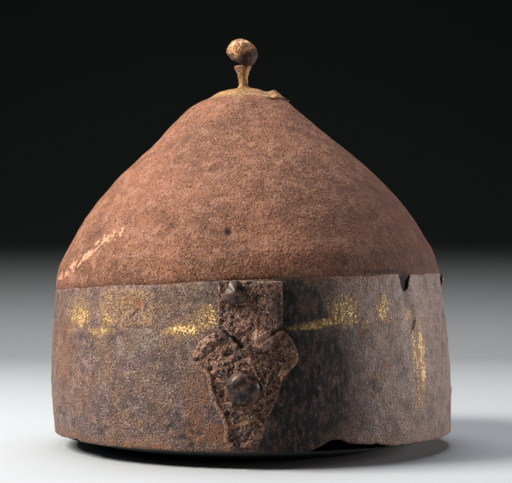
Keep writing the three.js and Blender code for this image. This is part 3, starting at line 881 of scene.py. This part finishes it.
def build_block(look, shape):
    """The upright block: pitted all over, thin at its right edge and worn smooth at its foot."""
    mesh = remeshed([slab(BLOCK_OUTLINE, BLOCK_THICKNESS)], "nasal_block_iron")
    x, z, here, flat = mount_places(mesh)
    rough = lumps(flat, [(9, 0.5), (3.6, 0.35), (1.8, 0.5), (1.1, 0.3)], 51)
    pits = np.maximum(noise_at(flat, 2.4, 55) - 0.15, 0) * 1.8 * shape.pit_depth / MM
    faded = 2.2 * smooth(x, 6, 13.5)
    lip = 0.5 * (1 - smooth(x, -15.4, -13.6))
    lip = lip - 1.1 * beside(here, BLOCK_OUTLINE[3:7], 0.3, 4.5) * smooth(x, -2, 2)
    join = worn_join(x, z)
    relief = (rough - pits) * (1 - 0.85 * join) - faded + lip + 1.7 * join
    nick, glint = nick_at(here)
    bent_to_band(mesh, np.maximum(relief - NICK_DEPTH * nick + 0.4 * glint, -BLOCK_THICKNESS + 0.5))
    # The join is worn smooth and painted lighter, partly as a highlight; the nick's lip is a painted
    # highlight, the nick itself painted shade.
    chart_mount(mesh, polish=np.maximum(0.9 * join, glint), shade=0.95 * nick)
    add_piece(mesh, bpy.data.materials["corroded_pitted_iron"], "nasal_block")


def build_plate(look, shape):
    """The lobed plate with ridges along its edges, and the tongue beside the boss."""
    left = spaced(PLATE_LEFT, 60)
    right = spaced(PLATE_RIGHT, 60)
    body = np.vstack([left, right, PLATE_TOP])
    mesh = remeshed([slab(body, PLATE_THICKNESS), slab(TONGUE, TONGUE_THICKNESS)], "nasal_plate_iron")
    x, z, here, flat = mount_places(mesh)
    rough = lumps(flat, [(8, 0.6), (3.4, 0.4), (1.8, 0.55), (1.1, 0.32)], 71)
    pits = np.maximum(noise_at(flat, 2.2, 75) - 0.1, 0) * 2.0 * shape.pit_depth / MM
    left_ridge = beside(here, left[20:], 1.9, 2.7)
    right_ridge = beside(here, right[8:44], 0.7, 1.4)
    on_tongue = beside(here, (*TONGUE, TONGUE[0]), 0.4, 1.2)
    nick, glint = nick_at(here)
    join = worn_join(x, z)
    relief = (rough - pits) * (1 - 0.9 * left_ridge) * (1 - 0.7 * right_ridge)
    relief *= (1 - 0.6 * on_tongue) * (1 - 0.85 * join)
    relief += 1.7 * join
    relief += 0.35 * left_ridge + 0.3 * right_ridge - 0.6 * (1 - left_ridge) * (1 - on_tongue)
    relief += 1.1 * beside(here, BLOCK_OUTLINE[1:6], 0.6, 4.5) - NICK_DEPTH * nick
    bent_to_band(mesh, np.maximum(relief, -PLATE_THICKNESS + 0.4))
    green = 0.35 * (1 - smooth(np.hypot(x + 1.5, (z - 14) / 1.5), 2, 4))
    # Painted highlight along the lobe's upper-left edge, which faces the key lamp.
    lit_lobe_edge = beside(here, left[2:14], 0.8, 2.6) * smooth(z, 42, 45)
    ridges = np.maximum(0.8 * left_ridge, 0.7 * right_ridge)
    # Painted light: orange-brown rust brightens the right lobe, which the lamps leave dark.
    right_lobe_painted_light = 0.42 * smooth(x, 5, 11) * smooth(z, 34, 40)
    rust = np.maximum.reduce([ridges, right_lobe_painted_light, 0.5 * np.maximum(noise_at(flat, 7, 79), 0)])
    # Smooth places, with painted highlight on the lobe edge, the join and the nick's lip.
    polish = np.maximum.reduce([lit_lobe_edge, 0.6 * ridges, glint, 0.9 * join])
    chart_mount(mesh, rust=rust, gilding=green, polish=polish, shade=0.95 * nick)
    add_piece(mesh, bpy.data.materials["corroded_pitted_iron"], "nasal_plate")


BOSS = {"x": -3.9, "z": 28.9, "radius": 8.0, "height": 6.6, "shank": 2.4, "peen": 4.6}
BOSS["seat"] = PLATE_THICKNESS + 2 * GAP
BROW = {"x": -7.5, "z": 71.6, "radius": 5.4, "height": 4.4, "shank": 1.9, "peen": 3.6}
BROW["seat"] = BLOCK_THICKNESS + 2 * GAP
SMALL = {"radius": 3.4, "height": 1.3, "shank": 1.4, "peen": 2.8, "seat": 2 * GAP}
SMALL_RIVETS = (("side_rivet", 88.0, 74.6), ("rear_rivet", 180.0, 68.0))  # with degrees round and height
PEEN_THICKNESS = 1.3


def seat_at(azimuth, height, proud):
    """Where a rivet's head meets the band, and which way it points."""
    radius = float(band_radius(height)) + proud
    at = on_band(np.array([radius]), np.array([azimuth]), np.array([height]))[0]
    outwards = Vector((math.sin(azimuth) * (1 + PLAN_LENGTHENING), -math.cos(azimuth), 0)).normalized()
    return at, outwards


def front_seat(rivet):
    """The seat of a rivet that stands at its own x and z on the front."""
    azimuth = math.asin((rivet["x"] + rivet["z"] * math.sin(BODY_LEAN)) / float(band_radius(rivet["z"])))
    at, outwards = seat_at(azimuth, rivet["z"], rivet["seat"])
    at[2] = rivet["z"]
    return at, outwards


def shank_profile(rivet, layers, peen_face):
    """From the peened end up the shank to the seat, through layers of the given thicknesses."""
    grip = sum(layers) * (1 + PLAN_LENGTHENING) + 2 * GAP
    end = -grip - PEEN_THICKNESS
    peen, shank = rivet["peen"], rivet["shank"]
    return [(0, end), (peen * peen_face, end), (peen, -grip), (shank, -grip), (shank, 0)]


def domed_rivet(rivet, layers, rings, steps, name):
    """A rivet with a domed head, made along +Z."""
    radius, height = rivet["radius"], rivet["height"]
    over_head = [(radius, 0), (radius * 0.98, height * 0.28), (radius * 0.7, height * 0.8), (0, height)]
    dome = spaced(over_head, rings)
    return spun(np.array([*shank_profile(rivet, layers, 0.7), *dome]), steps, name, closed=False)


def stood_on(mesh, places, seat):
    """Turns a piece made along +Z to point outwards from its seat."""
    at, outwards = seat
    turn = np.array(Vector((0, 0, 1)).rotation_difference(outwards).to_matrix())
    place(mesh, places @ turn.T + at)


def build_boss(look, shape):
    """The large domed rivet, its dome drawn a little up and to the left."""
    mesh = domed_rivet(BOSS, (2 * GAP, PLATE_THICKNESS, BAND_THICKNESS), 30, 96, "boss_rivet_iron")
    places = places_of(mesh)
    head = smooth(places[:, 2], -0.2, 0.5)[:, None]
    shift = lumps(places, [(9, 0.5), (4, 0.18), (1.9, 0.08)], 91)[:, None]
    outward = places / np.maximum(np.linalg.norm(places, axis=1), 0.1)[:, None]
    peak = np.array([-0.35, 0.4, 0]) * (places[:, 2:3] / BOSS["height"])
    stood_on(mesh, places + (outward * shift + peak) * head, front_seat(BOSS))
    add_piece(mesh, bpy.data.materials["rubbed_dark_iron"], "boss_rivet")


def build_brow_rivet(look, shape):
    """The brow rivet: a low three-sided pyramid, rounded by wear."""
    radius = BROW["radius"]
    slope = [(radius * (1 - t) * 0.95, 0.9 + (BROW["height"] - 0.9) * t) for t in np.linspace(0, 1, 18)]
    shank = shank_profile(BROW, (2 * GAP, BLOCK_THICKNESS, WALLS), 1.0)
    profile = [*shank, (radius, 0), (radius, 0.5), *slope]
    mesh = spun(np.array(profile), 84, "brow_rivet_iron", closed=False)
    places = places_of(mesh)
    radius_here, azimuth = np.hypot(places[:, 0], places[:, 1]), np.arctan2(places[:, 0], -places[:, 1])
    head = (places[:, 2] > -0.1) & (radius_here > BROW["shank"] * 0.9) | (places[:, 2] > 0.6)
    corner = np.where(head, 1 - 0.13 * np.cos(3 * azimuth), 1.0)
    apex_shift = np.where(head, 0.22 * np.maximum(places[:, 2] - 0.6, 0), 0)  # the peak sits high on the head
    shaped = np.stack([places[:, 0] * corner, places[:, 1] * corner + apex_shift, places[:, 2]], axis=1)
    shaped += np.where(head, lumps(places, [(5, 0.35), (2, 0.2)], 95), 0)[:, None] * np.array([0.4, 0.4, 0.8])
    stood_on(mesh, shaped, front_seat(BROW))
    add_piece(mesh, bpy.data.materials["rubbed_dark_iron"], "brow_rivet")


def build_band_rivets(look, shape):
    """The side and rear rivets are alike: low, worn heads."""
    for node, degrees, height in SMALL_RIVETS:
        mesh = domed_rivet(SMALL, (2 * GAP, WALLS), 14, 48, node + "_iron")
        places = places_of(mesh)
        head = smooth(places[:, 2], -0.2, 0.4)[:, None]
        worn = lumps(places + len(node), [(4, 0.35), (1.8, 0.2)], 97)[:, None] * np.array([0.5, 0.5, 1.0])
        stood_on(mesh, places + worn * head, seat_at(math.radians(degrees), height, SMALL["seat"]))
        add_piece(mesh, bpy.data.materials["rubbed_dark_iron"], node)


CAP_RADIUS = 22.6
CAP_THICKNESS = 1.7
CAP_SPREAD = 0.05


def build_cap(look, shape):
    """The thin, ragged cap over the crown: thick at the stem and towards its right edge, fine elsewhere."""
    radii = np.linspace(TANG_RADIUS + GAP, CAP_RADIUS, 34)
    under = [(r, float(crown_height(r)) + CAP_SEAT) for r in radii[::3]]
    over = [(r, float(crown_height(r)) + CAP_SEAT + CAP_THICKNESS) for r in radii[::-1]]
    mesh = spun(np.array([*under, *over]), 200, "apex_cap_copper")
    radius, azimuth, height = cylinder_places(mesh)
    top = height > crown_height(radius) + CAP_SEAT + CAP_THICKNESS / 2
    flat = np.stack([radius * np.sin(azimuth), radius * np.cos(azimuth), 0 * radius], axis=1)
    ragged = 1 + 0.13 * noise_at(flat, 6, 103) * smooth(radius, 12, 22)
    wide = radius * ragged * (1 + CAP_SPREAD * np.sin(azimuth) * radius / CAP_RADIUS)
    to_right = smooth(np.sin(azimuth), 0.2, 0.8)
    feather = smooth(radius, 14, 22) * (1 - to_right) + smooth(radius, 16.5, 22) * to_right
    x_here = flat[:, 0]
    dip = 0.8 * np.exp(-(((x_here - 11.4) / 3.0) ** 2)) * smooth(radius, 4, 9)
    lump = 1.1 * np.exp(-(((x_here - 16.4) / 2.6) ** 2)) * smooth(np.sin(azimuth), 0.3, 0.9)
    hump = 0.8 * (1 - smooth(radius, 3.0, 8.0))
    relief = lumps(flat, [(9, 0.25), (3.5, 0.22), (1.8, 0.12)], 101)
    raised = height + (crown_height(wide) - crown_height(radius))
    raised += np.where(top, hump + relief - dip + lump - feather * (CAP_THICKNESS - 0.1), 0)
    x, y = APEX_OFFSET + wide * np.sin(azimuth), -wide * np.cos(azimuth)
    place(mesh, leaned(x, y, raised))
    chart(mesh, "rust", 0.02 + 0.32 * smooth(radius, 16, 22) * (1 - 0.5 * smooth(np.sin(azimuth), 0.5, 0.9)))
    add_piece(mesh, bpy.data.materials["weathered_copper_alloy"], "apex_cap")


STEM_BASE = CROWN_TOP + CAP_SEAT + CAP_THICKNESS + GAP
STEM_HEIGHT = 12.0
STEM_FLARE = ((2.4, 2.1), (2.6, 5.5), (3.4, 8.8), (4.5, 11.3))
COLLAR_RADIUS = 3.0
COLLAR_HEIGHT = 1.3
SPIGOT_RADIUS = 1.5
SPIGOT_LENGTH = 3.2
KNOB_HALF_WIDTH = 8.4
KNOB_HALF_HEIGHT = 7.3
KNOB_TILT = 0.12


def stood_on_crown(places):
    """The finial's own frame: its axis is the crown's, leaning with the body."""
    return leaned(places[:, 0] + APEX_OFFSET, places[:, 1], places[:, 2])


def build_stem(look, shape):
    """The funnel-shaped stem on its collar, with the tang below and the knob's socket above."""
    base, mouth = STEM_BASE, STEM_BASE + STEM_HEIGHT
    peen_top = CROWN_TOP - BOWL_THICKNESS - GAP
    flare = spaced([(r, base + h) for r, h in STEM_FLARE], 22)
    socket_floor = mouth - SPIGOT_LENGTH - GAP
    profile = [
        (0, peen_top - PEEN_THICKNESS),
        (TANG_RADIUS * 1.4, peen_top - PEEN_THICKNESS),
        (TANG_RADIUS * 1.9, peen_top),
        (TANG_RADIUS, peen_top),
        (TANG_RADIUS, base - 0.4),
        (COLLAR_RADIUS + 0.6, base - 0.6),
        (COLLAR_RADIUS + 0.1, base + 0.5),
        (COLLAR_RADIUS - 0.3, base + COLLAR_HEIGHT),
        *flare,
        (4.5, mouth),
        (SPIGOT_RADIUS + GAP, mouth),
        (SPIGOT_RADIUS + GAP, socket_floor),
        (0, socket_floor),
    ]
    mesh = spun(np.array(profile), 72, "finial_stem_copper", closed=False)
    places = places_of(mesh)
    outward = places * np.array([1, 1, 0])
    outward /= np.maximum(np.linalg.norm(outward, axis=1), 0.5)[:, None]
    shown = smooth(places[:, 2], base - 0.5, base + 0.5)[:, None]
    relief = lumps(places, [(4.5, 0.3), (2.0, 0.25)], 111)[:, None]
    place(mesh, stood_on_crown(places + outward * relief * shown))
    chart(mesh, "rust", np.full(len(places), 0.42))
    add_piece(mesh, bpy.data.materials["weathered_copper_alloy"], "finial_stem")


def build_knob(look, shape):
    """A cast knob, flattened on top, its underside slanting down to the right."""
    bm = bmesh.new()
    bmesh.ops.create_uvsphere(bm, u_segments=96, v_segments=64, radius=MM)
    mesh = mesh_from(bm, "finial_knob_copper")
    unit = places_of(mesh)
    base = STEM_BASE + STEM_HEIGHT + GAP
    centre = base + KNOB_HALF_HEIGHT
    x, y, up = unit.T
    x = x * KNOB_HALF_WIDTH * (1 - 0.25 * np.maximum(up, 0) ** 2) * 0.97
    y = y * KNOB_HALF_WIDTH * 0.96
    flat_top = np.where(up > 0, np.power(np.maximum(up, 0), 0.95), up)
    low = centre + KNOB_HALF_HEIGHT * flat_top - KNOB_TILT * x
    low = np.where(up < 0, low - 0.3 * np.maximum(x, 0) * up**2 - 0.5 * np.minimum(x, 0) * up**2, low)
    droop = np.exp(-(((x - 1.5) / 3.5) ** 2)) * smooth(-y, 1, 5) * smooth(-up, 0.2, 0.8)
    low = low - 1.8 * droop
    places = np.stack([x, y, low], axis=1)
    places += unit * lumps(unit * 8, [(6, 0.7), (3, 0.3), (1.6, 0.1)], 121)[:, None]
    dent = np.exp(-((unit - np.array([0.45, -0.75, 0.35])) ** 2).sum(axis=1) / 0.12)
    places -= unit * 0.7 * dent[:, None]
    places[:, 2] = np.clip(places[:, 2], base - 3.4, centre + KNOB_HALF_HEIGHT)
    place(mesh, stood_on_crown(places))
    crease = np.exp(-(((unit[:, 2] - 0.1 - 0.55 * unit[:, 0]) / 0.14) ** 2)) * 0.5
    # Painted shade: the knob's lower right side, away from the lamps, is darkened.
    shaded_low_right = 0.95 * smooth(unit[:, 0] * 0.55 - unit[:, 2] * 0.75, -0.15, 0.6)
    chart(mesh, "tarnish_and_shade", np.maximum(shaded_low_right, crease))
    add_piece(mesh, bpy.data.materials["rubbed_copper_alloy"], "finial_knob")


# ---- Stage ----

CAMERA_DISTANCE = 735.0  # in front of the ring's centre
CAMERA_SIDE = 1.6
CAMERA_HEIGHT = 73.1
CAMERA_PITCH = math.radians(2.015)
CAMERA_LENS = 96.96
FLOOR_HALF_WIDTH = 3000.0
FLOOR_FRONT = -3000.0
SWEEP_START = 900.0
SWEEP_RADIUS = 900.0
RISER_HEIGHT = 7.6
RISER_INSET = 4.0
RISER_SLOPE = 30.0  # its side slants in towards the floor
RISER_TOP = -0.3
RISER_COLOUR = "#3a403e"
SWEEP_FALLOFF_GREY = "#8f8f8f"
SWEEP_FALLOFF_DARK = "#0c1210"
ROOM_DARK = "#131917"
AIM_HEIGHT = 70.0
LIGHTS = (  # name, azimuth, elevation, distance, size, watts, colour
    ("key", -74, 40, 1100, 500, 31.5, "#fff4e6"),
    ("right", 106, 4, 1200, 420, 13.5, "#ffeee2"),
    ("overhead", 180, 77, 1300, 900, 15.5, "#ffffff"),
)


def build_riser():
    """A low dark riser, smaller than the rim, that lifts the helmet a little off the floor and shows as a
    dark crescent under its front.
    """
    radius = float(band_radius(0)) - RISER_INSET
    foot = radius - RISER_SLOPE
    profile = [(0, -RISER_HEIGHT), (foot, -RISER_HEIGHT), (radius, -0.9), (radius, RISER_TOP), (0, RISER_TOP)]
    mesh = spun(np.array(profile), 160, "riser", closed=False)
    place(mesh, places_of(mesh) * np.array([1, 1 + PLAN_LENGTHENING, 1]) + np.array([0, RING_CENTRE_Y, 0]))
    riser_finish = Finish("dark_riser_finish", RISER_COLOUR, {})
    mesh.materials.append(riser_finish.shaded({}, {"Roughness": 0.95, "Specular IOR Level": 0.1}))
    in_scene("riser", mesh)


def build_floor(look):
    """A pale paper floor that sweeps up behind, painted greyer further back and dark up the sweep as painted
    falloff of light.
    """
    bm = bmesh.new()
    angles = np.linspace(0, math.radians(80), 28)
    line = [(y, 0.0) for y in (FLOOR_FRONT, -600.0, -200.0, 200.0, 600.0)]
    line += [(SWEEP_START + SWEEP_RADIUS * math.sin(a), SWEEP_RADIUS * (1 - math.cos(a))) for a in angles]
    verts = [bm.verts.new((-FLOOR_HALF_WIDTH * MM, y * MM, (z - RISER_HEIGHT) * MM)) for y, z in line]
    edges = [bm.edges.new(pair) for pair in zip(verts, verts[1:])]
    extruded = bmesh.ops.extrude_edge_only(bm, edges=edges)
    moved = [v for v in extruded["geom"] if isinstance(v, bmesh.types.BMVert)]
    bmesh.ops.translate(bm, vec=(2 * FLOOR_HALF_WIDTH * MM, 0, 0), verts=moved)
    mesh = mesh_from(bm, "floor")
    paper = Finish("painted_paper_sweep", look.floor, {})
    paper.coat(SWEEP_FALLOFF_GREY, 0.2, ("deep", 0.25, 1.1))
    paper.coat(SWEEP_FALLOFF_DARK, 1.0, ("up", -0.02, 0.15))
    mesh.materials.append(paper.shaded({}, {"Roughness": 0.9, "Specular IOR Level": 0.1}))
    in_scene("floor", mesh)


def add_light(name, azimuth, elevation, distance, size, energy, tint):
    """A soft light aimed at the helmet; azimuth 0 is the front and grows towards +X."""
    data = bpy.data.lights.new(name, "AREA")
    data.shape = "RECTANGLE"
    data.size = data.size_y = size * MM
    data.energy = energy
    data.color = linear(tint)[:3]
    light = in_scene(name, data)
    az, el = math.radians(azimuth), math.radians(elevation)
    way = Vector((math.sin(az) * math.cos(el), -math.cos(az) * math.cos(el), math.sin(el)))
    aim = Vector((0, RING_CENTRE_Y * MM, AIM_HEIGHT * MM))
    turn = way.to_track_quat("Z", "Y").to_matrix().to_4x4()
    light.matrix_world = Matrix.Translation(aim + way * distance * MM) @ turn
    light.visible_camera = False


def build_camera():
    """The camera, in front of the helmet and above its rim, tilted a little upwards."""
    data = bpy.data.cameras.new("camera")
    data.sensor_width = 36.0
    data.lens = CAMERA_LENS
    data.clip_start = 0.01
    camera = in_scene("camera", data)
    at = Vector((CAMERA_SIDE, RING_CENTRE_Y - CAMERA_DISTANCE, CAMERA_HEIGHT)) * MM
    camera.matrix_world = Matrix.Translation(at) @ Matrix.Rotation(math.pi / 2 + CAMERA_PITCH, 4, "X")
    bpy.context.scene.camera = camera


# ---- Operators ----


class PieceOperator:
    """What the piece operators share"""

    bl_options = {"REGISTER", "UNDO"}

    def settings(self, context):
        """The user's colours and sizes."""
        return context.scene.helmet_look, context.scene.helmet_shape


class HELMET_OT_materials(PieceOperator, bpy.types.Operator):
    """Make the finishes that several pieces share"""

    bl_idname = "helmet.materials"
    bl_label = "Shared finishes"

    def execute(self, context):
        look, _ = self.settings(context)
        for make in (corroded_pitted_iron, rubbed_dark_iron, weathered_copper_alloy, rubbed_copper_alloy):
            make(look)
        return {"FINISHED"}


class HELMET_OT_bowl(PieceOperator, bpy.types.Operator):
    """Make the forged bowl"""

    bl_idname = "helmet.bowl"
    bl_label = "Skull bowl"

    def execute(self, context):
        build_bowl(*self.settings(context))
        return {"FINISHED"}


class HELMET_OT_band(PieceOperator, bpy.types.Operator):
    """Make the brow band"""

    bl_idname = "helmet.band"
    bl_label = "Brow band"

    def execute(self, context):
        build_band(*self.settings(context))
        return {"FINISHED"}


class HELMET_OT_mount(PieceOperator, bpy.types.Operator):
    """Make the block and the plate of the front mount"""

    bl_idname = "helmet.mount"
    bl_label = "Front mount"

    def execute(self, context):
        build_block(*self.settings(context))
        build_plate(*self.settings(context))
        return {"FINISHED"}


class HELMET_OT_rivets(PieceOperator, bpy.types.Operator):
    """Make the rivets"""

    bl_idname = "helmet.rivets"
    bl_label = "Rivets"

    def execute(self, context):
        build_boss(*self.settings(context))
        build_brow_rivet(*self.settings(context))
        build_band_rivets(*self.settings(context))
        return {"FINISHED"}


class HELMET_OT_finial(PieceOperator, bpy.types.Operator):
    """Make the apex cap, the stem and the knob"""

    bl_idname = "helmet.finial"
    bl_label = "Cap and finial"

    def execute(self, context):
        build_cap(*self.settings(context))
        build_stem(*self.settings(context))
        build_knob(*self.settings(context))
        return {"FINISHED"}


class HELMET_OT_stage(PieceOperator, bpy.types.Operator):
    """Set up the floor, the lights and the camera"""

    bl_idname = "helmet.stage"
    bl_label = "Stage"

    def execute(self, context):
        look, _ = self.settings(context)
        build_camera()
        build_floor(look)
        build_riser()
        for light in LIGHTS:
            add_light(*light)
        world = bpy.data.worlds.new("dark_room")
        context.scene.world = world
        world.use_nodes = True
        world.node_tree.nodes["Background"].inputs["Color"].default_value = linear(ROOM_DARK)
        context.scene.view_settings.view_transform = "Standard"
        return {"FINISHED"}


class HELMET_PT_panel(bpy.types.Panel):
    """The helmet's pieces, in the order they are made"""

    bl_idname = "HELMET_PT_panel"
    bl_label = "Iron helmet"
    bl_space_type = "VIEW_3D"
    bl_region_type = "UI"
    bl_category = "Helmet"

    def draw(self, context):
        for operator in OPERATORS:
            self.layout.operator(operator.bl_idname)
        for settings in (context.scene.helmet_shape, context.scene.helmet_look):
            for name in settings.__annotations__:
                self.layout.prop(settings, name)


OPERATORS = (
    HELMET_OT_stage,
    HELMET_OT_materials,
    HELMET_OT_bowl,
    HELMET_OT_band,
    HELMET_OT_mount,
    HELMET_OT_rivets,
    HELMET_OT_finial,
)
CLASSES = (HelmetLook, HelmetShape, *OPERATORS, HELMET_PT_panel)


def register():
    """Adds the settings, the operators and the panel."""
    for each in CLASSES:
        bpy.utils.register_class(each)
    bpy.types.Scene.helmet_look = bpy.props.PointerProperty(type=HelmetLook)
    bpy.types.Scene.helmet_shape = bpy.props.PointerProperty(type=HelmetShape)


def unregister():
    """Takes them away again."""
    del bpy.types.Scene.helmet_shape
    del bpy.types.Scene.helmet_look
    for each in reversed(CLASSES):
        bpy.utils.unregister_class(each)


def main():
    """Builds the stage and every piece."""
    register()
    bpy.ops.helmet.stage()
    bpy.ops.helmet.materials()
    bpy.ops.helmet.bowl()
    bpy.ops.helmet.band()
    bpy.ops.helmet.mount()
    bpy.ops.helmet.rivets()
    bpy.ops.helmet.finial()


if __name__ == "__main__":
    main()
